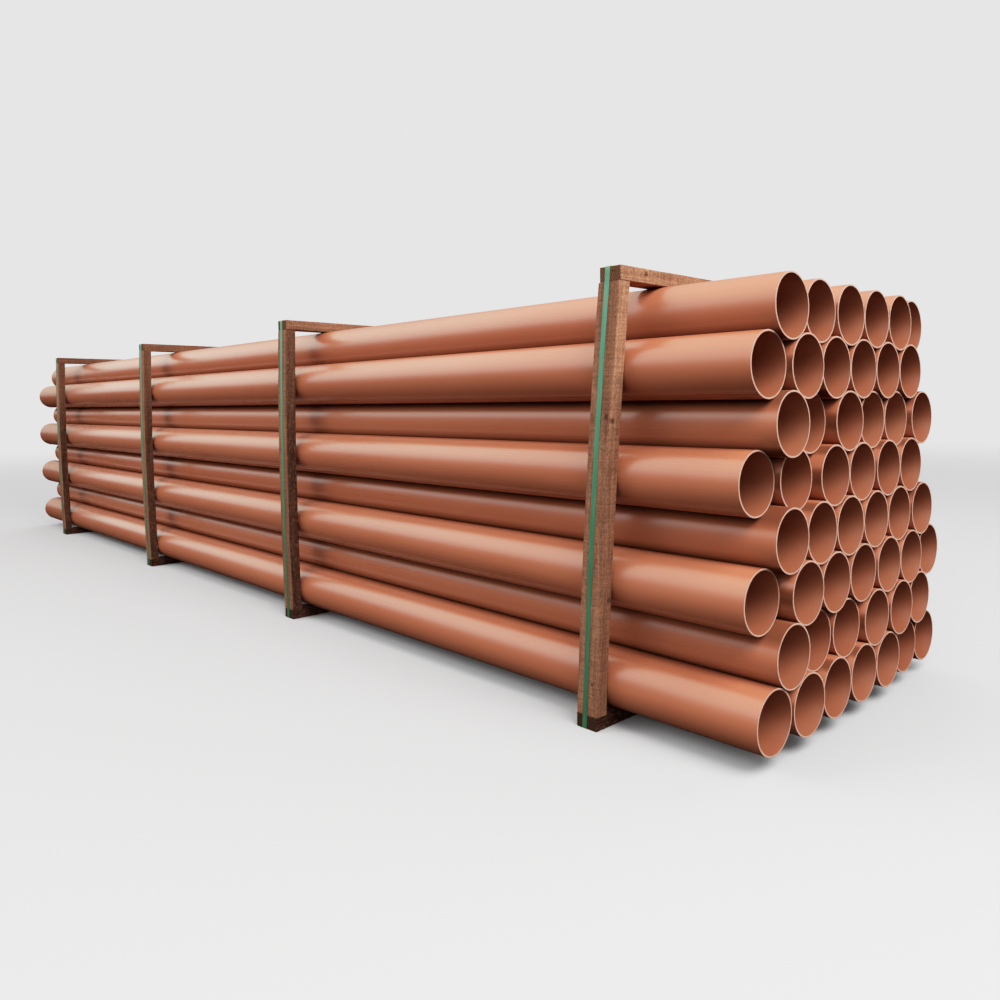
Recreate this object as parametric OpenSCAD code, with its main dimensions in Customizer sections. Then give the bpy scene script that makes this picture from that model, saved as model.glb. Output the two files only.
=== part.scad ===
// Bundle of plain-ended underground drain pipes, nested in eight rows and held by four strapped timber frames.
// Millimetres. X runs along the pipes, Z is up, z = 0 is the floor under the bottom beams.

/* [Pipes] */
// Outside diameter of a pipe
pipe_d = 160; // [110:1:200]
// Wall of a pipe
pipe_wall = 4.7; // [3:0.1:7]
// Length of a pipe
pipe_len = 6000; // [5800:10:6500]
// Space between neighbouring pipes
pipe_gap = 0.3; // [0.2:0.05:0.6]

/* [Timber] */
// Width of a post along the pipes
post_w = 73; // [50:1:90]
// Thickness of a post across the bundle
post_t = 38; // [25:1:50]
// How far the load has bowed a post outwards at mid height
post_bow = 9; // [4:0.5:14]
// Width of a beam along the pipes
beam_w = 70; // [48:1:90]
// Height of a beam
beam_h = 38; // [25:1:50]
// Play between a pipe and the timber beside it
timber_gap = 0.3; // [0.2:0.05:0.6]

/* [Straps] */
// Width of a strap
strap_w = 16; // [12:1:25]
// Thickness of a strap
strap_t = 1; // [0.6:0.1:1.5]
// How far above the floor the strap lies in its bed under a bottom beam
strap_lift = 0.4; // [0.2:0.1:1]
// How far a strap lies off the middle of its frame, towards the far end
strap_off = 7; // [0:1:12]

/* [Hidden] */
// How far each pipe is slipped along the bundle from the middle, row by row from the top, seen side first
slip = [
  [30, 20, 25, 25, 25, -5],
  [15, 30, 25, 25, 25, 25, -40],
  [35, -5, 25, 15, 15, 30],
  [-15, 0, 25, 25, 30, 30, -40],
  [35, 30, 30, 30, 30, 35],
  [0, 35, 30, 30, 35, 35, 25],
  [40, 15, 20, 35, 40, 30],
  [35, 40, 35, 35, 35, 20, 15]
];
// Middle of each frame's head along the bundle, as a share of the pipe length, the near frame first
head_at = [0.4395, 0.151, -0.1165, -0.388];
// How far each frame's foot lags behind its head
lean = [93, 9, 0, 0];
// Play at each side of a strap in its bed
bed_play = 0.3;
// How far a cut runs past the face that it opens
over = 1;
// Length that the level cuts take off each end of a leaning slab
spare = 100;

pipe_colour = [0.72, 0.36, 0.23];
post_colour = [0.42, 0.27, 0.19];
top_colour = [0.40, 0.26, 0.18];
bottom_colour = [0.30, 0.19, 0.14];
strap_colour = [0.10, 0.45, 0.30];

head_x = [for (share = head_at) share*pipe_len];
foot_x = [for (i = [0:len(lean) - 1]) head_x[i] - lean[i]];
rows = len(slip);
widest = max([for (row = slip) len(row)]);
bore_d = pipe_d - 2*pipe_wall;
pitch = pipe_d + pipe_gap;
rise = pitch*sqrt(3)/2;
low_z = beam_h + timber_gap + pipe_d/2;
head_z = low_z + (rows - 1)*rise + pipe_d/2 + timber_gap;
post_mid = (beam_h + head_z)/2;
post_half = (head_z - beam_h)/2;
bow_r = (post_half*post_half + post_bow*post_bow)/(2*post_bow);
// Where the widest row nearest to a post's end touches it, the bow already stands out by this much
touch_bow = min([for (row = [1:rows]) if (len(slip[row - 1]) == widest) bow_at(row_z(row))]);
post_in = (widest - 1)/2*pitch + pipe_d/2 + timber_gap - touch_bow;
post_out = post_in + post_t;
full_h = head_z + beam_h;
strap_bed = strap_lift + strap_t;
strap_out = post_out + strap_t;

// Height of the middle of a row, row 1 on top
function row_z(row) = low_z + (rows - row)*rise;

// How far a bowed face stands out at height z, from its place at the ends of the posts
function bow_at(z) = sqrt(bow_r*bow_r - (z - post_mid)*(z - post_mid)) - bow_r + post_bow;

// One pipe along X, its middle at the given place
module pipe(x, y, z) {
  translate([x - pipe_len/2, y, z])
    rotate([0, 90, 0])
      difference() {
        cylinder(d = pipe_d, h = pipe_len, $fn = 96);
        translate([0, 0, -over])
          cylinder(d = bore_d, h = pipe_len + 2*over, $fn = 96);
      }
}

// One row of pipes, row 1 on top
module pipe_row(row) {
  n = len(slip[row - 1]);
  color(pipe_colour)
    for (k = [1:n])
      pipe(slip[row - 1][k - 1], (k - (n + 1)/2)*pitch, row_z(row));
}

// Slab across the bundle that leans from a frame's foot to its head, with its middle set off towards the far end
module leaning_slab(i, w, off) {
  tilt = atan2(lean[i], full_h);
  reach = strap_out + post_bow + over;
  translate([foot_x[i] - off, 0, 0])
    rotate([0, tilt, 0])
      translate([-w/2, -reach, -spare])
        cube([w, 2*reach, full_h/cos(tilt) + 2*spare]);
}

// Barrel along X whose face on the given side stands at the given reach where the posts end
module bow_barrel(side, reach) {
  translate([-pipe_len, side*(reach + post_bow - bow_r), post_mid])
    rotate([0, 90, 0])
      cylinder(r = bow_r, h = 2*pipe_len, $fn = 2000);
}

// Block along X from z0 to z1, as wide as the given reach each way and bowed out further beside the posts
module bowed_block(reach, z0, z1) {
  intersection() {
    union() {
      translate([-pipe_len, -reach, z0])
        cube([2*pipe_len, 2*reach, z1 - z0]);
      intersection() {
        bow_barrel(1, reach);
        bow_barrel(-1, reach);
      }
    }
    translate([-pipe_len, -reach - post_bow - over, z0])
      cube([2*pipe_len, 2*(reach + post_bow + over), z1 - z0]);
  }
}

// Post of frame i, on the seen side (-1) or the other side (1)
module post(i, side) {
  color(post_colour)
    intersection() {
      leaning_slab(i, post_w, 0);
      difference() {
        bowed_block(post_out, beam_h, head_z);
        bowed_block(post_in, beam_h - over, head_z + over);
      }
      translate([-pipe_len, side > 0 ? 0 : -pipe_len, 0])
        cube([2*pipe_len, pipe_len, full_h]);
    }
}

// Beam on top of both posts
module top_beam(i) {
  color(top_colour)
    translate([head_x[i] - beam_w/2, -post_out, head_z])
      cube([beam_w, 2*post_out, beam_h]);
}

// Beam under both posts, with the bed that the strap has pressed into it
module bottom_beam(i) {
  color(bottom_colour)
    difference() {
      translate([foot_x[i] - beam_w/2, -post_out, 0])
        cube([beam_w, 2*post_out, beam_h]);
      translate([foot_x[i] - strap_off - strap_w/2 - bed_play, -post_out - over, -over])
        cube([strap_w + 2*bed_play, 2*(post_out + over), strap_bed + over]);
    }
}

// Closed band round frame i, lying on its beams and bowed posts
module strap(i) {
  color(strap_colour)
    intersection() {
      leaning_slab(i, strap_w, strap_off);
      difference() {
        bowed_block(strap_out, strap_lift, full_h + strap_t);
        bowed_block(post_out, strap_bed, full_h);
      }
    }
}

pipe_row(1);  // pipe_row_1
pipe_row(2);  // pipe_row_2
pipe_row(3);  // pipe_row_3
pipe_row(4);  // pipe_row_4
pipe_row(5);  // pipe_row_5
pipe_row(6);  // pipe_row_6
pipe_row(7);  // pipe_row_7
pipe_row(8);  // pipe_row_8
post(0, -1);  // left_post_1
post(1, -1);  // left_post_2
post(2, -1);  // left_post_3
post(3, -1);  // left_post_4
post(0, 1);  // right_post_1
post(1, 1);  // right_post_2
post(2, 1);  // right_post_3
post(3, 1);  // right_post_4
top_beam(0);  // top_beam_1
top_beam(1);  // top_beam_2
top_beam(2);  // top_beam_3
top_beam(3);  // top_beam_4
bottom_beam(0);  // bottom_beam_1
bottom_beam(1);  // bottom_beam_2
bottom_beam(2);  // bottom_beam_3
bottom_beam(3);  // bottom_beam_4
strap(0);  // strap_1
strap(1);  // strap_2
strap(2);  // strap_3
strap(3);  // strap_4
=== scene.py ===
"""Looks of a strapped bundle of underground drain pipes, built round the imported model. Metres throughout."""
import math
import random

import bpy
import numpy as np
from mathutils import Matrix, Vector, noise


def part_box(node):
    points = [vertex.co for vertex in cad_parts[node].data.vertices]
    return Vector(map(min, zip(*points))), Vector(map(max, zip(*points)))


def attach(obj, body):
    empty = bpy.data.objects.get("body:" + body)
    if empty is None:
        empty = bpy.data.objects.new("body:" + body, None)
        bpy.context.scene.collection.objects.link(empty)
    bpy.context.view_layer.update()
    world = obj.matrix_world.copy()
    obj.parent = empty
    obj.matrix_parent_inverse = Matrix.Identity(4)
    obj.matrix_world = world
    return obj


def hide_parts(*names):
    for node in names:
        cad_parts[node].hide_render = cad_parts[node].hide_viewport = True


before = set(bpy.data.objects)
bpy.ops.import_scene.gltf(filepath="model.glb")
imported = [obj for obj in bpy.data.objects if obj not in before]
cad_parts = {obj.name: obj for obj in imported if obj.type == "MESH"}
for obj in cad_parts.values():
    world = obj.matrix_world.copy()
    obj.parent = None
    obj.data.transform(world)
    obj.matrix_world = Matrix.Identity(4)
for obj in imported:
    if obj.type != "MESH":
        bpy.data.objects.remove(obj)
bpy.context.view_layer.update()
mm = 0.001
# How near to a face a CAD vertex counts as lying on it
CLOSE = 0.1*mm
# Edges that bend more than this stay sharp
SHARP = math.radians(35.0)
SEED = 11

# Pipes
PIPE_D = 160*mm
PIPE_WALL = 4.7*mm
PIPE_SIDES = 112
RIM_ROUND = 0.7*mm
# Share of that rounding by which the middle of the rounded edge stands in
ROUND_IN = 0.3
# Neighbours are pipes whose middles lie less than this many diameters apart
TOUCHING = 1.1
# How far round a pipe the painted shade reaches from the line where it touches a neighbour, and under an
# overhang
SHADE_REACH = math.radians(23.0)
OVERHANG_REACH = math.radians(52.0)
# Share of that reach over which the painted shade fades out, and its strength where the pipes touch
SHADE_FADE = 0.7
SHADE_STRENGTH = 0.72
# Deepest and palest pipe, as a share of the way from the deep to the pale colour
PIPE_TONE = (0.35, 0.75)
ROWS = range(1, 9)

# Timber frames, the near one first
FRAMES = range(1, 5)
STATION = 8*mm
CORNER_POINTS = 4
CORNER_R = 1.3*mm
CHIP = 5.0*mm
# Noise above which a corner has chipped
CHIP_FROM = 0.25
ROUGH = 0.5*mm
END_ROUND = 1.2*mm
# Waves a metre of the chipped corners, coarse and fine, and of the dents, along a bar and across it
CHIP_COARSE, CHIP_FINE = 9.0, 41.0
DENT_ALONG, DENT_ACROSS = 22.0, 60.0
# Span of the noise from which each bar takes its own part
NOISE_SPAN = 50.0
# No bed of a strap under a beam is deeper than this
BED_LIMIT = 5.0*mm
# How light each frame's timber is, from 0, dark and weathered, to 1, fresh: outer face, face to the near end
POST_TONE = [(0.47, 0.90), (0.37, 0.17), (0.46, 0.24), (0.46, 0.22)]
TOP_TONE = [(0.76, 0.72), (0.46, 0.60), (0.46, 0.36), (0.36, 0.30)]
BOTTOM_TONE = (0.04, 0.04)
# Share of its lightness that a post's face to the near end loses below its head, and the shares of its height
# between which it does
NEAR_LOSS = 0.42
LOSS_SPAN = (0.55, 0.95)
# Share of a bar's width over which the tone of the outer face turns into that of the face to the near end
TURN_SHARE = 1/8

# Knots seen on the near frame: middle as (along, across, up or in) on the bar, and radius
KNOTS = {
    "post_seen_1": [((783*mm, 73*mm, 6*mm), 9*mm), ((793*mm, 56*mm, 0.0), 8*mm),
                    ((316*mm, 73*mm, 29*mm), 9*mm), ((88*mm, 50*mm, 0.0), 6*mm)],
    "beam_top_1": [((101*mm, 70*mm, 24*mm), 8*mm)],
}

# Straps
STRAP_T = 1.0*mm
STRAP_EDGE = 0.35*mm
STRAP_BEND = 2.5*mm
BEND_POINTS = 6
STRAP_STEP = 15*mm

# Camera, from the fit to the pipe ends and frames; the centre and focal length are in pixels of the photo
PHOTO = 1000
FOCAL = 809.7
CENTRE = (556.1, 448.3)
CAMERA_AT = Vector((3.9764, -2.1482, 0.8670))
AZIMUTH, ELEVATION, ROLL = (math.radians(a) for a in (44.70, 3.19, -0.57))
SENSOR = 36.0

# Colours, linear
PIPE_DEEP = (0.320, 0.078, 0.035)
PIPE_PALE = (0.410, 0.125, 0.062)
# Painted shade that darkens the pipes where they touch and under overhangs
PIPE_SHADE_COLOUR = (0.040, 0.010, 0.005)
# How much the bore's colour is darkened: painted shade inside the pipe, which is the same plastic
BORE_SHADE = 0.66
RIM_PALE = (0.780, 0.475, 0.375)
RIM_DEEP = (0.540, 0.268, 0.190)
# Light and dark grain of weathered, half-fresh and fresh timber
WOOD_LIGHT = ((0.055, 0.019, 0.012), (0.285, 0.124, 0.070), (0.500, 0.248, 0.138))
WOOD_DARK = ((0.015, 0.005, 0.004), (0.170, 0.071, 0.039), (0.320, 0.148, 0.083))
WOOD_STAIN = (0.060, 0.025, 0.017)
WOOD_CRACK = (0.022, 0.010, 0.007)
WOOD_KNOT = (0.030, 0.013, 0.008)
WOOD_FLECK = (0.240, 0.120, 0.075)
# Light and dark rings in the end grain of weathered and fresh timber, and the checks in it
END_LIGHT = ((0.036, 0.017, 0.010), (0.195, 0.086, 0.043))
END_DARK = ((0.013, 0.006, 0.004), (0.082, 0.034, 0.018))
END_CHECK = (0.010, 0.006, 0.004)
# Deep and pale green of a strap near the floor and at the top, and the heights between which it changes:
# painted shade, darker towards the floor
STRAP_DEEP = ((0.029, 0.104, 0.048), (0.057, 0.236, 0.130))
STRAP_PALE = ((0.042, 0.132, 0.064), (0.084, 0.276, 0.166))
STRAP_SHADE_SPAN = (0.1, 1.2)
FLOOR_GREY = (0.53, 0.53, 0.53)
BACKDROP = (1.17, 1.17, 1.175)

# Floor: its radius, and the distances between which it fades into the backdrop
FLOOR_R = 30.0
FLOOR_FADE = (5.0, 16.0)

# Light: the brightest sky, then each sky's brightness and share of blue from straight down to straight up
SKY_TOP = 5.5
EVEN_SKY = [(-1.0, 0.04, 1.0), (-0.03, 0.05, 1.0), (0.10, 0.60, 1.0), (0.26, 2.50, 1.0),
            (0.42, 3.20, 1.0), (0.65, 1.90, 1.0), (1.0, 0.65, 1.0)]
GLOSS_SKY = [(-1.0, 0.04, 1.0), (-0.05, 0.06, 1.0), (0.04, 0.12, 1.0), (0.12, 0.35, 1.0),
             (0.19, 1.30, 1.0), (0.28, 3.40, 0.96), (0.73, 5.50, 0.83), (1.0, 5.50, 0.83)]
# Share that is left of the even light beyond the near end and of the gloss behind the bundle, and the spans
# of directions over which they fall to it
EVEN_AHEAD = 0.35
AHEAD_SPAN = (-0.3, 0.7)
GLOSS_BEHIND = 0.2
BEHIND_SPAN = (-0.4, 0.45)
# Share of the gloss for each direction along the bundle, from its far end at -1 to its near end at 1
GLOSS_ALONG = [(-1.0, 0.15), (-0.976, 0.24), (-0.966, 0.62), (-0.95, 0.60), (-0.87, 0.62), (-0.72, 1.0),
               (0.0, 0.85), (0.6, 0.45)]
# Height that the gloss sky has where it stands straight above the bundle
GLOSS_RISE = 0.69
# Soft lamps, over the near end and above the seen side: place, aim, width and height, power
LAMPS = [
    (Vector((6.3, -1.1, 5.4)), Vector((2.0, 0.0, 0.6)), (4.0, 4.0), 700.0),
    (Vector((-1.2, -4.0, 3.4)), Vector((-0.8, -0.6, 0.6)), (4.0, 1.6), 125.0),
]
# Film curve: the brightness shown as white, then the curve from scene brightness to the share of white shown
FILM_WHITE = 2.2
FILM = [(0.35, 0.35), (0.50, 0.475), (0.70, 0.60), (0.90, 0.695), (1.20, 0.80), (1.60, 0.90)]


class Shader:
    """A material being wired up."""

    def __init__(self, name):
        self.material = bpy.data.materials.new(name)
        self.material.use_nodes = True
        self.tree = self.material.node_tree
        self.surface = self.tree.nodes["Principled BSDF"]

    def add(self, kind, sockets=None, **properties):
        """Adds a node; each socket gets a plain value or another node's output."""
        node = self.tree.nodes.new("ShaderNode" + kind)
        for key, value in properties.items():
            setattr(node, key, value)
        for key, value in (sockets or {}).items():
            self.put(node.inputs[key], value)
        return node

    def put(self, socket, value):
        """Sets a socket, or joins it to an output."""
        if isinstance(value, bpy.types.NodeSocket):
            self.tree.links.new(value, socket)
        else:
            socket.default_value = value

    def set(self, **sockets):
        """Sets sockets of the surface shader, with _ for a space in the name."""
        for key, value in sockets.items():
            self.put(self.surface.inputs[key.replace("_", " ")], value)

    def noise(self, vector, scale, detail=4.0, rough=0.55):
        """A noise value from 0 to 1."""
        sockets = {"Vector": vector, "Scale": scale, "Detail": detail, "Roughness": rough}
        return self.add("TexNoise", sockets).outputs["Fac"]

    def stretch(self, vector, scale):
        """The vector times a scale along each axis."""
        return self.add("Mapping", {"Vector": vector, "Scale": scale}).outputs["Vector"]

    def ramp(self, value, low, high, to_low=0.0, to_high=1.0):
        """The value's range low to high as to_low to to_high, smooth and clamped."""
        sockets = {"Value": value, "From Min": low, "From Max": high, "To Min": to_low, "To Max": to_high}
        return self.add("MapRange", sockets, interpolation_type="SMOOTHSTEP").outputs["Result"]

    def math(self, operation, a, b):
        """A sum, product or the like of two values."""
        return self.add("Math", {0: a, 1: b}, operation=operation).outputs[0]

    def mix(self, factor, a, b, blend="MIX"):
        """A mix of two colours."""
        node = self.add("Mix", data_type="RGBA", blend_type=blend)
        for name, value in (("Factor", factor), ("A", a), ("B", b)):
            kind = "VALUE" if name == "Factor" else "RGBA"
            socket = next(s for s in node.inputs if s.name == name and s.type == kind)
            value = (*value, 1.0) if isinstance(value, tuple) and len(value) == 3 else value
            self.put(socket, value)
        return next(s for s in node.outputs if s.type == "RGBA")

    def aged(self, tone, colours):
        """A timber colour for a tone from 0 to 1, from the weathered, half-fresh and fresh colours."""
        worn, half, fresh = colours
        older = self.mix(self.ramp(tone, 0.0, 0.5), worn, half)
        return self.mix(self.ramp(tone, 0.5, 1.0), older, fresh)

    def bump(self, height, strength, distance):
        """A normal from a height."""
        sockets = {"Height": height, "Strength": strength, "Distance": distance}
        return self.add("Bump", sockets).outputs["Normal"]

    def place(self):
        """The place on the object, in metres."""
        return self.add("TexCoord").outputs["Object"]

    def attribute(self, name):
        """A value stored on the mesh."""
        return self.add("Attribute", attribute_name=name)


def pipe_skin(name, inside=False):
    """Semi-gloss terracotta plastic with faint draw lines along the pipe, scuffs and dust, and painted shade
    in the bore, in the nooks where pipes touch and under overhangs.
    """
    s = Shader(name)
    place = s.place()
    tone = s.attribute("tone").outputs["Fac"]
    lines = s.noise(s.stretch(place, (0.03, 90.0, 90.0)), 1.0, 3.0)
    cloud = s.noise(s.stretch(place, (1.2, 5.0, 5.0)), 1.0, 4.0)
    scuff = s.ramp(s.noise(s.stretch(place, (0.3, 120.0, 120.0)), 1.0, 2.0), 0.66, 0.80)
    shade = s.math("ADD", s.math("MULTIPLY", tone, 0.6), s.math("MULTIPLY", cloud, 0.45))
    colour = s.mix(s.ramp(shade, 0.15, 0.85), PIPE_DEEP, PIPE_PALE)
    colour = s.mix(s.ramp(lines, 0.35, 0.75, 0.0, 0.15), colour, PIPE_DEEP)
    colour = s.mix(s.math("MULTIPLY", scuff, 0.06), colour, RIM_DEEP)
    rough = s.math("ADD", s.ramp(cloud, 0.3, 0.7, 0.22, 0.26), s.math("MULTIPLY", lines, 0.09))
    if inside:
        rough = s.math("ADD", rough, 0.12)
        # Painted shade: the bore takes the skin's colour, darkened
        colour = s.mix(1.0, colour, (BORE_SHADE, BORE_SHADE, BORE_SHADE), "MULTIPLY")
    else:
        # Painted shade: darker colour and less gloss where pipes touch and under overhangs
        nook = s.attribute("nook").outputs["Fac"]
        colour = s.mix(s.math("MULTIPLY", nook, SHADE_STRENGTH), colour, PIPE_SHADE_COLOUR)
        s.set(Specular_IOR_Level=s.ramp(nook, 0.0, 0.6, 0.5, 0.0))
    s.set(Base_Color=colour, Roughness=rough, IOR=1.53)
    return s.material


def cut_rim():
    """Pale saw-cut end of a pipe, with fine scratches and flecks of swarf."""
    s = Shader("cut_rim")
    place = s.place()
    cuts = s.noise(s.stretch(place, (60.0, 700.0, 160.0)), 1.0, 4.0)
    fleck = s.ramp(s.noise(place, 260.0, 2.0), 0.60, 0.70)
    colour = s.mix(s.ramp(cuts, 0.35, 0.7), RIM_DEEP, RIM_PALE)
    colour = s.mix(fleck, colour, RIM_PALE)
    s.set(Base_Color=colour, Roughness=s.ramp(cuts, 0.3, 0.7, 0.5, 0.7))
    s.set(Normal=s.bump(cuts, 0.4, 0.3*mm))
    return s.material


def sawn_timber(name, knots=()):
    """Rough-sawn reddish timber: streaked grain, saw marks across it, cracks, knots and stains."""
    s = Shader(name)
    grain = s.attribute("grain").outputs["Vector"]
    tone = s.attribute("tone").outputs["Fac"]
    wander = s.add("TexNoise", {"Vector": s.stretch(grain, (3.0, 12.0, 12.0)), "Scale": 1.0}).outputs["Color"]
    bent = s.add("VectorMath", {0: wander, 1: (0.0, 0.02, 0.02)}, operation="MULTIPLY").outputs[0]
    bent = s.add("VectorMath", {0: grain, 1: bent}, operation="ADD").outputs[0]
    broad = s.noise(s.stretch(bent, (1.6, 36.0, 36.0)), 1.0, 4.0)
    streak = s.noise(s.stretch(bent, (4.0, 120.0, 120.0)), 1.0, 5.0, 0.6)
    crack = s.noise(s.stretch(bent, (5.0, 300.0, 300.0)), 1.0, 3.0)
    grit = s.noise(s.stretch(grain, (190.0, 300.0, 300.0)), 1.0, 4.0, 0.65)
    stain = s.noise(s.stretch(grain, (6.0, 16.0, 16.0)), 1.0, 5.0, 0.6)
    saw = s.noise(s.stretch(grain, (170.0, 9.0, 9.0)), 1.0, 2.0)
    cells = s.add("TexVoronoi", {"Vector": s.stretch(grain, (3.4, 12.0, 12.0)), "Scale": 1.0})
    knot = s.ramp(cells.outputs["Distance"], 0.05, 0.11, 0.7, 0.0)
    halo = s.ramp(cells.outputs["Distance"], 0.08, 0.40, 1.0, 0.0)
    light = s.aged(tone, WOOD_LIGHT)
    dark = s.aged(tone, WOOD_DARK)
    colour = s.mix(s.ramp(streak, 0.38, 0.64, 0.0, 0.85), light, dark)
    colour = s.mix(s.ramp(broad, 0.44, 0.66, 0.0, 0.45), colour, dark)
    colour = s.mix(s.ramp(stain, 0.52, 0.74, 0.0, 0.35), colour, WOOD_STAIN)
    colour = s.mix(s.math("MULTIPLY", halo, 0.35), colour, dark)
    colour = s.mix(1.0, colour, s.ramp(grit, 0.32, 0.68, 0.62, 1.30), "MULTIPLY")
    colour = s.mix(1.0, colour, s.ramp(saw, 0.35, 0.65, 0.84, 1.12), "MULTIPLY")
    colour = s.mix(s.ramp(crack, 0.63, 0.72, 0.0, 0.60), colour, WOOD_CRACK)
    if knots:
        knot = dark_knots(s, knots)
    colour = s.mix(knot, colour, WOOD_KNOT)
    worn = s.ramp(tone, 0.0, 0.5, 1.0, 0.0)
    fleck = s.noise(s.stretch(grain, (70.0, 150.0, 150.0)), 1.0, 4.0, 0.7)
    fleck = s.ramp(fleck, 0.52, 0.66, 0.0, 0.55)
    colour = s.mix(s.math("MULTIPLY", fleck, worn), colour, WOOD_FLECK)
    height = s.math("ADD", s.math("MULTIPLY", grit, 0.8), s.math("MULTIPLY", saw, 0.6))
    s.set(Base_Color=colour, Roughness=s.ramp(broad, 0.3, 0.7, 0.75, 0.90), Specular_IOR_Level=0.05)
    s.set(Normal=s.bump(height, 0.5, 1.0*mm))
    return s.material


def dark_knots(s, knots):
    """How far a place on a bar lies in one of its knots, each a middle and a radius in metres on the bar."""
    bar = s.attribute("bar").outputs["Vector"]
    ragged = s.math("MULTIPLY", s.noise(bar, 260.0, 3.0), 0.8)
    inside = None
    for middle, radius in knots:
        away = s.add("VectorMath", {0: bar, 1: middle}, operation="DISTANCE").outputs["Value"]
        share = s.math("ADD", s.math("DIVIDE", away, radius), ragged)
        spot = s.ramp(share, 0.9, 1.6, 0.72, 0.0)
        inside = spot if inside is None else s.math("MAXIMUM", inside, spot)
    return inside


def end_grain():
    """Dark end of a timber: growth rings, checks and a rough cut."""
    s = Shader("end_grain")
    grain = s.attribute("grain").outputs["Vector"]
    tone = s.attribute("tone").outputs["Fac"]
    across = s.stretch(grain, (0.0, 1.0, 1.0))
    sockets = {"Vector": across, "Scale": 60.0, "Distortion": 3.0, "Detail": 3.0}
    rings = s.add("TexWave", sockets, wave_type="RINGS").outputs["Fac"]
    pores = s.noise(across, 900.0, 3.0)
    check = s.ramp(s.noise(s.stretch(across, (1.0, 40.0, 240.0)), 1.0, 3.0), 0.60, 0.70)
    light = s.mix(tone, *END_LIGHT)
    dark = s.mix(tone, *END_DARK)
    colour = s.mix(s.ramp(rings, 0.3, 0.8), light, dark)
    colour = s.mix(s.ramp(pores, 0.5, 0.7, 0.0, 0.6), colour, dark)
    colour = s.mix(check, colour, END_CHECK)
    s.set(Base_Color=colour, Roughness=0.9, Specular_IOR_Level=0.05)
    s.set(Normal=s.bump(pores, 0.5, 0.6*mm))
    return s.material


def green_strap():
    """Green polyester strap with an embossed face, a satin sheen, rubbed edges and painted shade that darkens
    it towards the floor.
    """
    s = Shader("green_strap")
    place = s.place()
    emboss = s.add("TexVoronoi", {"Vector": place, "Scale": 520.0}).outputs["Distance"]
    rub = s.noise(s.stretch(place, (120.0, 8.0, 8.0)), 1.0, 4.0)
    up = s.add("SeparateXYZ", {0: place}).outputs["Z"]
    # Painted shade: the green darkens towards the floor
    height = s.ramp(up, *STRAP_SHADE_SPAN)
    colour = s.mix(s.ramp(rub, 0.35, 0.7), s.mix(height, *STRAP_DEEP), s.mix(height, *STRAP_PALE))
    s.set(Base_Color=colour, Roughness=s.ramp(rub, 0.3, 0.7, 0.30, 0.45), Coat_Weight=0.15)
    s.set(Normal=s.bump(emboss, 0.25, 0.3*mm))
    return s.material


def new_mesh(name, points, faces, materials, material_of=None):
    """A mesh object from arrays, with sharp edges kept sharp."""
    mesh = bpy.data.meshes.new(name)
    mesh.from_pydata([tuple(p) for p in points], [], faces)
    for m in materials:
        mesh.materials.append(m)
    if material_of is not None:
        mesh.polygons.foreach_set("material_index", material_of)
    mesh.polygons.foreach_set("use_smooth", [True]*len(mesh.polygons))
    mesh.set_sharp_from_angle(angle=SHARP)
    mesh.validate()
    obj = bpy.data.objects.new(name, mesh)
    bpy.context.scene.collection.objects.link(obj)
    return obj


def store(obj, name, kind, values):
    """Stores a value at each vertex for a material to read."""
    layer = obj.data.attributes.new(name, kind, "POINT")
    field = "vector" if kind == "FLOAT_VECTOR" else "value"
    layer.data.foreach_set(field, np.asarray(values, np.float32).ravel())


def seat(obj, node):
    """Makes a piece ride on the bundle in place of its CAD node."""
    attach(obj, "root")
    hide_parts(node)


def cad_points(node):
    """The vertices of a CAD node."""
    return np.array([v.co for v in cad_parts[node].data.vertices])


def pipes_of(node):
    """Middle y and z, and lowest and highest x, of each pipe in a row."""
    points = cad_points(node)
    low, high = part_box(node)
    count = round((high.y - low.y)/PIPE_D)
    pitch = (high.y - low.y - PIPE_D)/(count - 1)
    first = low.y + PIPE_D/2
    index = np.rint((points[:, 1] - first)/pitch).astype(int)
    for k in range(count):
        x = points[index == k, 0]
        yield first + k*pitch, (low.z + high.z)/2, x.min(), x.max()


def pipe_profile(x0, x1):
    """Rings of one pipe as (x, radius, material), round its wall: 0 skin, 1 bore, 2 cut rim."""
    out, bore, e = PIPE_D/2, PIPE_D/2 - PIPE_WALL, RIM_ROUND
    c = ROUND_IN*e
    middle = [x0 + (x1 - x0)*t for t in (0.25, 0.5, 0.75)]
    outside = [(x0 + e, out, 0)] + [(x, out, 0) for x in middle] + [(x1 - e, out, 0)]
    near = [(x1 - c, out - c, 2), (x1, out - e, 2), (x1, bore + e, 1), (x1 - c, bore + c, 1)]
    inside = [(x1 - e, bore, 1)] + [(x, bore, 1) for x in reversed(middle)] + [(x0 + e, bore, 1)]
    far = [(x0 + c, bore + c, 1), (x0, bore + e, 2), (x0, out - e, 2), (x0 + c, out - c, 0)]
    return outside + near + inside + far


def nooks(y, z, middles, turn, outer):
    """How near each direction round a pipe lies to the line where it touches a neighbour, from 0 to 1: where
    the painted shade falls.
    """
    deep = np.zeros(len(turn))
    for other_y, other_z in middles:
        away = math.hypot(other_y - y, other_z - z)
        if 0.5*PIPE_D < away < TOUCHING*PIPE_D:
            reach = OVERHANG_REACH if outer and other_z > z + PIPE_D/4 else SHADE_REACH
            off = turn - math.atan2(other_z - z, other_y - y)
            off = np.abs((off + math.pi) % (2*math.pi) - math.pi)
            t = np.clip((reach - off)/(SHADE_FADE*reach), 0.0, 1.0)
            deep = np.maximum(deep, t*t*(3.0 - 2.0*t))
    return deep


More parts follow.
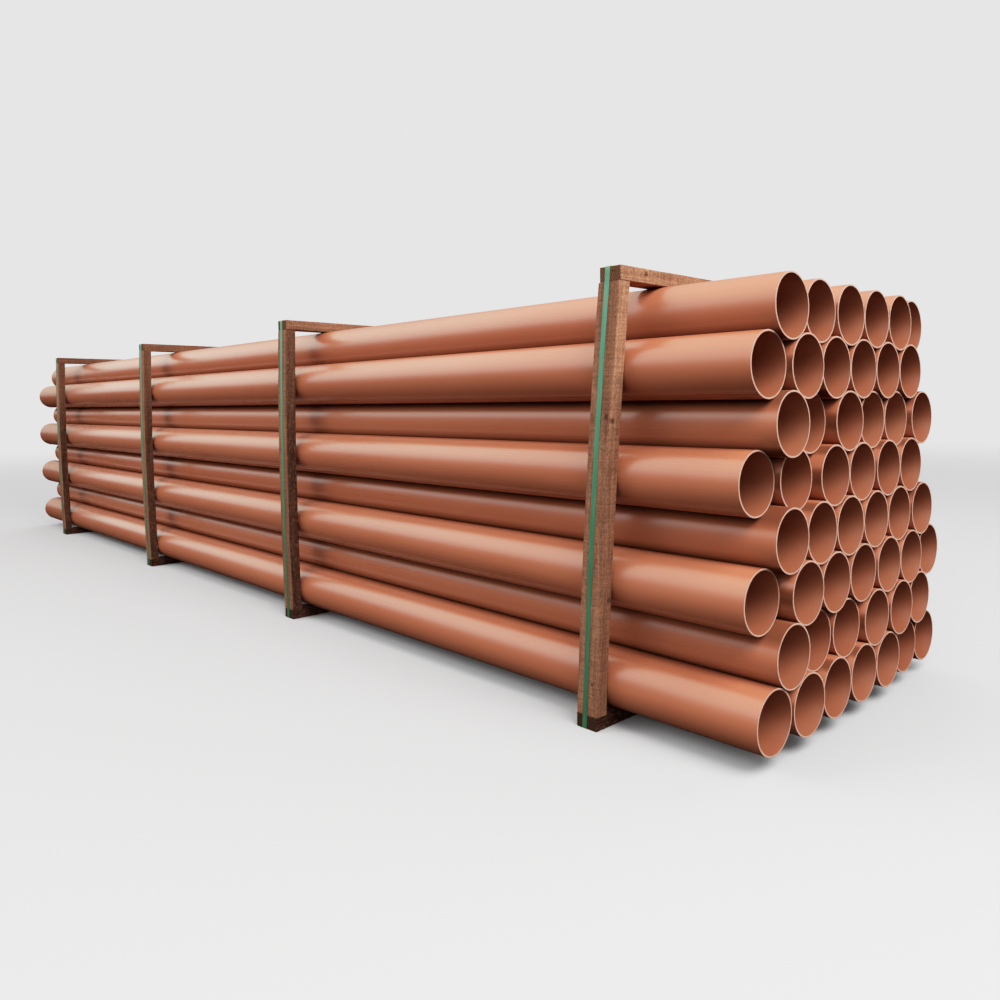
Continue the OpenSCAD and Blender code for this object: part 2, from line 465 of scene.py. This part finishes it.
def pipe_row(row, middles, materials, rng):
    """One row of pipes as one piece."""
    points, faces, kinds, tones, deep = [], [], [], [], []
    turn = np.linspace(0.0, 2*math.pi, PIPE_SIDES, endpoint=False)
    around = np.stack([np.cos(turn), np.sin(turn)], 1)
    step = np.arange(PIPE_SIDES)
    after = (step + 1) % PIPE_SIDES
    pipes = list(pipes_of(f"pipe_row_{row}"))
    for k, (y, z, x0, x1) in enumerate(pipes):
        rings = pipe_profile(x0, x1)
        outer = k in (0, len(pipes) - 1)
        start = len(points)
        for x, r, _ in rings:
            points.extend(np.column_stack([np.full(PIPE_SIDES, x), y + r*around[:, 0], z + r*around[:, 1]]))
        for i, (_, _, kind) in enumerate(rings):
            a = start + i*PIPE_SIDES
            b = start + (i + 1) % len(rings)*PIPE_SIDES
            faces.extend(np.column_stack([a + step, a + after, b + after, b + step]).tolist())
            kinds.extend([kind]*PIPE_SIDES)
        tones.extend([rng.uniform(*PIPE_TONE)]*(len(rings)*PIPE_SIDES))
        deep.extend(np.tile(nooks(y, z, middles, turn, outer), len(rings)))
    obj = new_mesh(f"pipes_{row}", points, faces, materials, kinds)
    store(obj, "tone", "FLOAT", tones)
    store(obj, "nook", "FLOAT", deep)
    seat(obj, f"pipe_row_{row}")


def corner(u, v, r, start):
    """A rounded corner of a timber's section, from an angle in degrees on."""
    mid_u = u + (r if u == 0 else -r)
    mid_v = v + (r if v == 0 else -r)
    turns = [math.radians(start + 90*k/(CORNER_POINTS - 1)) for k in range(CORNER_POINTS)]
    return [(mid_u + r*math.cos(a), mid_v + r*math.sin(a)) for a in turns]


def slotted(run, bed):
    """The low face of a section with a slot in it, given as (start, end, depth)."""
    start, end, deep = bed
    slot = [(start, 0.0), (start, deep), (end, deep), (end, 0.0)]
    return [p for p in run if p[0] < start] + slot + [p for p in run if p[0] > end]


def section(bar, radii):
    """Outline of a bar's section with the given corner radii, as (across, up or in)."""
    spots = [(0, 0, 180), (bar.width, 0, 270), (bar.width, bar.depth, 0), (0, bar.depth, 90)]
    counts = [round(bar.width/STATION), round(bar.depth/STATION)]*2
    outline = []
    for i, (u, v, start) in enumerate(spots):
        r, n = radii[i], counts[i]
        outline += corner(u, v, r, start)
        to_u, to_v, _ = spots[(i + 1) % 4]
        last_u, last_v = outline[-1]
        run = []
        for k in range(1, n):
            t = k/n
            run.append((last_u + (to_u - u)*t*(1 - 2*r/bar.width),
                        last_v + (to_v - v)*t*(1 - 2*r/bar.depth)))
        outline += slotted(run, bar.bed) if bar.bed and i == 0 else run
    return outline


def smooth(value, span):
    """A smooth step from 0 to 1 over a span."""
    t = min(1.0, max(0.0, (value - span[0])/(span[1] - span[0])))
    return t*t*(3.0 - 2.0*t)


def bow_at(share):
    """How much of its bow a post has at a share of its height."""
    return 1.0 - (2.0*share - 1.0)**2


def strap_bed(points, low):
    """Start, end and depth of the slot in the low face of a beam, if it has one."""
    ceiling = points[(points[:, 2] > low.z + CLOSE) & (points[:, 2] < low.z + BED_LIMIT)]
    if len(ceiling) == 0:
        return None
    return ceiling[:, 0].min() - low.x, ceiling[:, 0].max() - low.x, ceiling[:, 2].max() - low.z


class Bar:
    """Size and place of a CAD timber whose long way runs along "z" or "y"."""

    def __init__(self, node, along):
        points = cad_points(node)
        low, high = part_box(node)
        foot = points[points[:, 2] < low.z + CLOSE]
        head = points[points[:, 2] > high.z - CLOSE]
        self.upright = along == "z"
        self.low = low
        self.foot_x, self.foot_y = foot[:, 0].min(), foot[:, 1].min()
        self.lean = head[:, 0].min() - self.foot_x
        self.bow = (low.y - self.foot_y) + (high.y - foot[:, 1].max())
        self.width = foot[:, 0].max() - self.foot_x
        self.depth = foot[:, 1].max() - self.foot_y if self.upright else high.z - low.z
        self.length = high.z - low.z if self.upright else high.y - low.y
        self.bed = None if self.upright else strap_bed(points, low)

    def stations(self):
        """Places along the bar where its section is drawn."""
        count = round(self.length/STATION)
        between = [self.length*k/count for k in range(1, count)]
        return [0.0, END_ROUND] + between + [self.length - END_ROUND, self.length]

    def place(self, s, u, v):
        """Where a point s along the bar, u across it and v up or in lies in the frame."""
        if not self.upright:
            return self.low.x + u, self.low.y + s, self.low.z + v
        shift = self.lean*s/self.length
        swell = self.bow*bow_at(s/self.length)
        return self.foot_x + shift + u, self.foot_y + swell + v, self.low.z + s

    def tone(self, s, u, outer, near):
        """How light the wood is at a place, from the tones of the outer face and the face to the near end."""
        turned = min(1.0, max(0.0, (u/self.width - 1.0)/TURN_SHARE + 1.0))
        loss = NEAR_LOSS*turned*(1.0 - smooth(s/self.length, LOSS_SPAN)) if self.upright else 0.0
        return (outer + (near - outer)*turned)*(1.0 - loss)


def chipped(s, seed):
    """Radii of a bar's four corners at a place along it, larger where the wood has chipped."""
    radii = []
    for c in range(4):
        coarse = noise.noise(Vector((s*CHIP_COARSE, c*7.3, 0.0)) + seed)
        fine = noise.noise(Vector((s*CHIP_FINE, c*3.1, 2.0)) + seed)
        radii.append(CORNER_R + CHIP*max(0.0, coarse + 0.5*fine - CHIP_FROM))
    return radii


def sawn_ring(bar, s, seed):
    """Section of a rough-sawn bar at a place along it, each point as (u before the dents, u, v)."""
    half_u, half_v = bar.width/2, bar.depth/2
    inset = END_ROUND if s in (0.0, bar.length) else 0.0
    ring = []
    for u, v in section(bar, chipped(s, seed)):
        spot = Vector((s*DENT_ALONG, u*DENT_ACROSS, v*DENT_ACROSS))
        dent = inset + ROUGH*(0.5 + 0.5*noise.noise(spot + seed))
        ring.append((u, half_u + (u - half_u)*(1 - 2*dent/bar.width),
                     half_v + (v - half_v)*(1 - 2*dent/bar.depth)))
    return ring


def bar_faces(count, n, flip):
    """Faces of a bar of count rings of n points, and their materials: 0 along it, 1 at its ends."""
    faces = []
    for a in range(0, (count - 1)*n, n):
        for j in range(n):
            k = (j + 1) % n
            faces.append((a + j, a + k, a + n + k, a + n + j))
    kinds = [0]*len(faces) + [1, 1]
    faces += [tuple(range(n))[::-1], tuple(range((count - 1)*n, count*n))]
    return [f[::-1] if flip else f for f in faces], kinds


def timber(name, node, along, tone, materials, rng):
    """A rough-sawn bar in place of a CAD timber, its long way along "z" or "y"."""
    bar = Bar(node, along)
    seed = Vector((rng.random()*NOISE_SPAN, rng.random()*NOISE_SPAN, rng.random()*NOISE_SPAN))
    points, spots, tones = [], [], []
    stations = bar.stations()
    for s in stations:
        ring = sawn_ring(bar, s, seed)
        for flat_u, u, v in ring:
            points.append(bar.place(s, u, v))
            spots.append((s, u, v))
            tones.append(bar.tone(s, flat_u, *tone))
    faces, kinds = bar_faces(len(stations), len(ring), not bar.upright)
    obj = new_mesh(name, points, faces, materials, kinds)
    store(obj, "grain", "FLOAT_VECTOR", np.array(spots) + np.array(seed))
    store(obj, "bar", "FLOAT_VECTOR", spots)
    store(obj, "tone", "FLOAT", tones)
    seat(obj, node)


def band_path(low, high, side, bow, post_low, post_high):
    """Line of a band's outer face, bowed with the posts, as (y, z, outward y, outward z)."""
    path = []
    spots = [(-side, low, 180), (side, low, 270), (side, high, 0), (-side, high, 90)]
    for k, (y, z, start) in enumerate(spots):
        mid_y = y - math.copysign(STRAP_BEND, y)
        mid_z = z + (STRAP_BEND if z == low else -STRAP_BEND)
        for t in range(BEND_POINTS):
            a = math.radians(start + 90*t/(BEND_POINTS - 1))
            out_y, out_z = math.cos(a), math.sin(a)
            path.append((mid_y + STRAP_BEND*out_y, mid_z + STRAP_BEND*out_z, out_y, out_z))
        to_y, to_z, _ = spots[(k + 1) % 4]
        run = abs(to_y - y) + abs(to_z - z) - 2*STRAP_BEND
        steps = round(run/STRAP_STEP)
        y0, z0, _, _ = path[-1]
        for t in range(1, steps):
            y_t = y0 + np.sign(to_y - y)*run*t/steps
            z_t = z0 + np.sign(to_z - z)*run*t/steps
            swell = max(0.0, bow_at((z_t - post_low)/(post_high - post_low)))
            path.append((y_t + out_y*bow*swell, z_t, out_y, out_z))
    return path


def strap(i, materials):
    """A flat band round a frame."""
    node = f"strap_{i}"
    points = cad_points(node)
    low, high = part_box(node)
    post_low, post_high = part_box(f"left_post_{i}")
    head = points[points[:, 2] > high.z - CLOSE]
    foot = points[points[:, 2] < low.z + CLOSE]
    half = (head[:, 0].max() - head[:, 0].min())/2
    side = head[:, 1].max()
    path = band_path(low.z, high.z, side, high.y - side, post_low.z, post_high.z)
    middle = [(end[:, 0].min() + end[:, 0].max())/2 for end in (foot, head)]
    xs = np.interp([z for _, z, _, _ in path], (low.z, high.z), middle)
    e, t = STRAP_EDGE, STRAP_T
    shape = [(-half + e, 0), (half - e, 0), (half, -e), (half, -t + e),
             (half - e, -t), (-half + e, -t), (-half, -t + e), (-half, -e)]
    verts = [(x + u, y + v*out_y, z + v*out_z)
             for x, (y, z, out_y, out_z) in zip(xs, path) for u, v in shape]
    n, m = len(shape), len(path)
    faces = [(p*n + j, p*n + (j + 1) % n, (p + 1) % m*n + (j + 1) % n, (p + 1) % m*n + j)
             for p in range(m) for j in range(n)]
    obj = new_mesh(f"strap_band_{i}", verts, faces, materials)
    seat(obj, node)


def build_bundle():
    """Every piece of the bundle."""
    rng = random.Random(SEED)
    skins = [pipe_skin("pipe_skin"), pipe_skin("pipe_bore", inside=True), cut_rim()]
    middles = [pipe[:2] for row in ROWS for pipe in pipes_of(f"pipe_row_{row}")]
    for row in ROWS:
        pipe_row(row, middles, skins, rng)
    ends = end_grain()
    woods = [sawn_timber("sawn_timber"), ends]
    near_woods = {name: [sawn_timber(name + "_timber", knots), ends] for name, knots in KNOTS.items()}
    for i in FRAMES:
        side, top = POST_TONE[i - 1], TOP_TONE[i - 1]
        side_woods = near_woods.get(f"post_seen_{i}", woods)
        top_woods = near_woods.get(f"beam_top_{i}", woods)
        timber(f"post_seen_{i}", f"left_post_{i}", "z", side, side_woods, rng)
        timber(f"post_hidden_{i}", f"right_post_{i}", "z", side, woods, rng)
        timber(f"beam_top_{i}", f"top_beam_{i}", "y", top, top_woods, rng)
        timber(f"beam_low_{i}", f"bottom_beam_{i}", "y", BOTTOM_TONE, woods, rng)
    bands = [green_strap()]
    for i in FRAMES:
        strap(i, bands)


def build_camera():
    """The photo's camera."""
    a, e, r = AZIMUTH, ELEVATION, ROLL
    back = Vector((math.sin(a)*math.cos(e), -math.cos(a)*math.cos(e), math.sin(e)))
    right = Vector((math.cos(a), math.sin(a), 0.0))
    up = right.cross(-back)
    x_axis = math.cos(r)*right + math.sin(r)*up
    y_axis = -math.sin(r)*right + math.cos(r)*up
    data = bpy.data.cameras.new("camera")
    data.sensor_width = SENSOR
    data.lens = FOCAL/PHOTO*SENSOR
    data.shift_x = (PHOTO/2 - CENTRE[0])/PHOTO
    data.shift_y = (CENTRE[1] - PHOTO/2)/PHOTO
    data.clip_end = 200.0
    camera = bpy.data.objects.new("camera", data)
    camera.matrix_world = Matrix.Translation(CAMERA_AT) @ Matrix((x_axis, y_axis, back)).transposed().to_4x4()
    bpy.context.scene.collection.objects.link(camera)
    bpy.context.scene.camera = camera


def build_floor():
    """A pale floor that fades into the backdrop."""
    bpy.ops.mesh.primitive_circle_add(vertices=96, radius=FLOOR_R, fill_type="NGON", location=(0.0, 0.0, 0.0))
    floor = bpy.context.object
    floor.name = "floor"
    s = Shader("floor")
    s.set(Base_Color=(*FLOOR_GREY, 1.0), Roughness=0.9, Specular_IOR_Level=0.0)
    distance = s.add("VectorMath", {0: s.place()}, operation="LENGTH").outputs["Value"]
    s.set(Alpha=s.ramp(distance, *FLOOR_FADE, 1.0, 0.0))
    floor.data.materials.append(s.material)
    floor.visible_diffuse = False
    floor.visible_glossy = False


def sky_tones(tree, way, stops, top):
    """A colour for each place on a way from -1 to 1, given as (place, brightness, share of blue)."""
    place = tree.nodes.new("ShaderNodeMapRange")
    place.inputs["From Min"].default_value = -1.0
    ramp = tree.nodes.new("ShaderNodeValToRGB")
    while len(ramp.color_ramp.elements) < len(stops):
        ramp.color_ramp.elements.new(0.5)
    for element, (at, bright, blue) in zip(ramp.color_ramp.elements, stops):
        element.position = (at + 1.0)/2.0
        level = bright/top
        element.color = (level, level, level*blue, 1.0)
    tree.links.new(way, place.inputs["Value"])
    tree.links.new(place.outputs["Result"], ramp.inputs["Fac"])
    return ramp.outputs["Color"]


def fade(tree, way, span, near, far):
    """A strength that runs from near to far over a span of directions."""
    node = tree.nodes.new("ShaderNodeMapRange")
    node.inputs["From Min"].default_value, node.inputs["From Max"].default_value = span
    node.inputs["To Min"].default_value, node.inputs["To Max"].default_value = near, far
    tree.links.new(way, node.inputs["Value"])
    return node.outputs["Result"]


def split(tree, vector):
    """The X, Y and Z of a vector."""
    node = tree.nodes.new("ShaderNodeSeparateXYZ")
    tree.links.new(vector, node.inputs[0])
    return node.outputs


def seen_along(tree, way):
    """The direction as seen along the bundle, its length set to the rise of the gloss sky."""
    for operation, value in (("MULTIPLY", (0.0, 1.0, 1.0)), ("NORMALIZE", None), ("SCALE", GLOSS_RISE)):
        node = tree.nodes.new("ShaderNodeVectorMath")
        node.operation = operation
        tree.links.new(way, node.inputs[0])
        if operation == "MULTIPLY":
            node.inputs[1].default_value = value
        if operation == "SCALE":
            node.inputs["Scale"].default_value = value
        way = node.outputs["Vector"]
    return split(tree, way)


def background(tree, colour, strength):
    """A background of a colour and strength."""
    node = tree.nodes.new("ShaderNodeBackground")
    tree.links.new(colour, node.inputs["Color"])
    tree.links.new(strength, node.inputs["Strength"])
    return node.outputs[0]


def gloss_light(tree, way):
    """The sky that shows in the gloss: it runs along the bundle like a long cloud bank."""
    flat = seen_along(tree, way)
    colour = sky_tones(tree, flat["Z"], GLOSS_SKY, SKY_TOP)
    shares = [(at, share, 1.0) for at, share in GLOSS_ALONG]
    both = tree.nodes.new("ShaderNodeMath")
    both.operation = "MULTIPLY"
    tree.links.new(sky_tones(tree, split(tree, way)["X"], shares, 1.0), both.inputs[0])
    tree.links.new(fade(tree, flat["Y"], BEHIND_SPAN, SKY_TOP, GLOSS_BEHIND*SKY_TOP), both.inputs[1])
    return background(tree, colour, both.outputs[0])


def even_light(tree, way):
    """The sky that lights everything, weaker beyond the near end."""
    parts = split(tree, way)
    colour = sky_tones(tree, parts["Z"], EVEN_SKY, SKY_TOP)
    return background(tree, colour, fade(tree, parts["X"], AHEAD_SPAN, SKY_TOP, EVEN_AHEAD*SKY_TOP))


def mixed(tree, factor, first, second):
    """One of two lights, by a factor."""
    node = tree.nodes.new("ShaderNodeMixShader")
    for socket, value in zip(node.inputs, (factor, first, second)):
        tree.links.new(value, socket)
    return node.outputs[0]


def build_sky():
    """Soft light from all round above dark ground, another sky for the gloss, and a pale backdrop."""
    world = bpy.data.worlds.new("world")
    bpy.context.scene.world = world
    world.use_nodes = True
    tree = world.node_tree
    tree.nodes.clear()
    way = tree.nodes.new("ShaderNodeTexCoord").outputs["Generated"]
    path = tree.nodes.new("ShaderNodeLightPath").outputs
    backdrop = tree.nodes.new("ShaderNodeBackground")
    backdrop.inputs["Color"].default_value = (*BACKDROP, 1.0)
    lit = mixed(tree, path["Is Glossy Ray"], even_light(tree, way), gloss_light(tree, way))
    seen = mixed(tree, path["Is Camera Ray"], lit, backdrop.outputs[0])
    out = tree.nodes.new("ShaderNodeOutputWorld")
    tree.links.new(seen, out.inputs["Surface"])


def set_film():
    """Shows the scene through a film-like curve that keeps the highlights from burning out."""
    view = bpy.context.scene.view_settings
    view.view_transform = "Standard"
    view.use_curve_mapping = True
    film = view.curve_mapping
    film.white_level = (FILM_WHITE, FILM_WHITE, FILM_WHITE)
    points = film.curves[3].points
    for bright, shown in FILM:
        points.new(bright/FILM_WHITE, shown)
    film.update()


def build_lamps():
    """Large soft lamps that light the bundle without showing in its gloss."""
    for place, aim, size, power in LAMPS:
        lamp = bpy.data.lights.new("soft_lamp", "AREA")
        lamp.shape = "RECTANGLE"
        lamp.size, lamp.size_y = size
        lamp.energy = power
        key = bpy.data.objects.new("soft_lamp", lamp)
        key.location = place
        key.rotation_euler = (aim - place).to_track_quat("-Z", "Y").to_euler()
        key.visible_glossy = False
        bpy.context.scene.collection.objects.link(key)


set_film()
build_camera()
build_bundle()
build_floor()
build_sky()
build_lamps()
